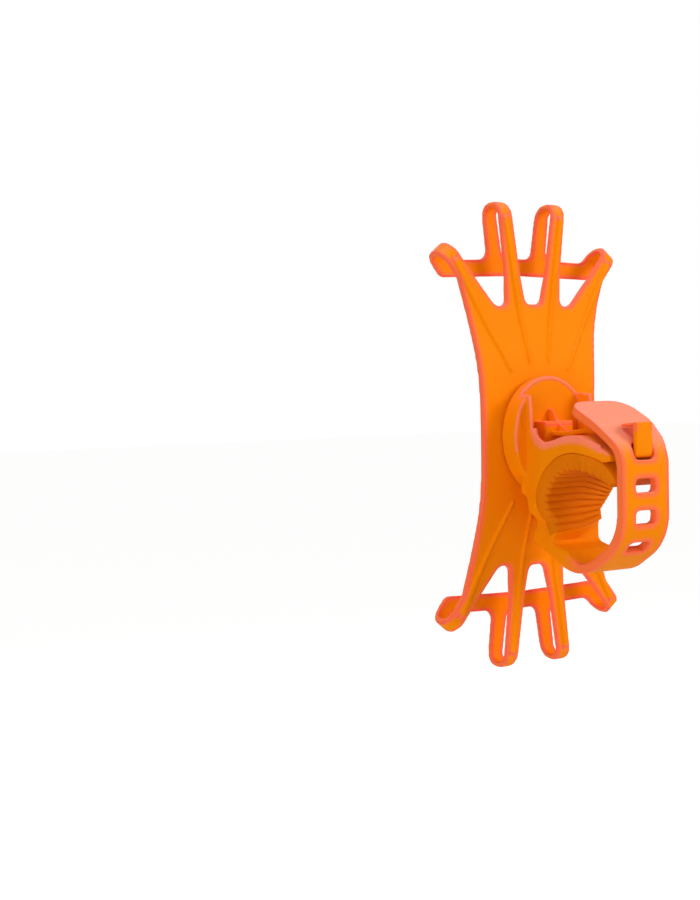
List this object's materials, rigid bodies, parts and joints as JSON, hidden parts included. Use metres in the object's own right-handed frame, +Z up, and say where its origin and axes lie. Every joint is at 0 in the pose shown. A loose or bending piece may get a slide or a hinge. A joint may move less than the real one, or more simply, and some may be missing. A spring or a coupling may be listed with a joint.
{
  "type": "phone mount",
  "caption": "Silicone handlebar phone mount: a bowed stretch web with corner and end loops on a swivel hub, over a ribbed saddle that a slotted strap closes with a hook.",
  "frame": {"origin": "middle of the handlebar's axis, halfway across the seat", "axes": "+X along the handlebar to the right seen from the front, -Y the way the phone faces, +Z up along the phone"},
  "size_m": [0.062, 0.0511, 0.1264],
  "materials": {
    "orange_silicone": "satin moulded silicone",
    "orange_plastic": "satin moulded plastic",
    "black_plastic": "fine matt",
    "brushed_badge": "circular brushed with a bright chamfer",
    "clear_adhesive": "adhesive film",
    "white_nylon": "machined nylon",
    "spring_steel": "plain steel",
    "black_rubber": "matt",
    "brass": "plain"
  },
  "bodies": {
    "seat": {"seat_body": "orange_silicone", "grip_pad": "orange_silicone", "hook_arm": "orange_plastic", "swivel_core": "orange_plastic", "thread_insert": "brass", "pivot_screw": "spring_steel", "pivot_bush": "white_nylon", "thrust_washer": "white_nylon", "spring_washer": "spring_steel", "friction_ring": "black_rubber"},
    "cradle": {"phone_cradle": "orange_silicone", "front_button": "black_plastic", "badge_disc": "brushed_badge", "badge_adhesive": "clear_adhesive", "rotor_plate": "black_plastic"},
    "strap": {"bar_strap": "orange_silicone"}
  },
  "joints": [
    {"name": "swivel", "type": "hinge", "parent": "seat", "child": "cradle", "pos_m": [0, -0.0264, 0.0192], "axis": [0, 1, 0], "continuous": true},
    {"name": "strap_open", "type": "hinge", "parent": "seat", "child": "strap", "pos_m": [0, -0.0139, -0.0106], "axis": [-1, 0, 0], "range_deg": [0, 100], "deforming": ["bar_strap"]}
  ]
}
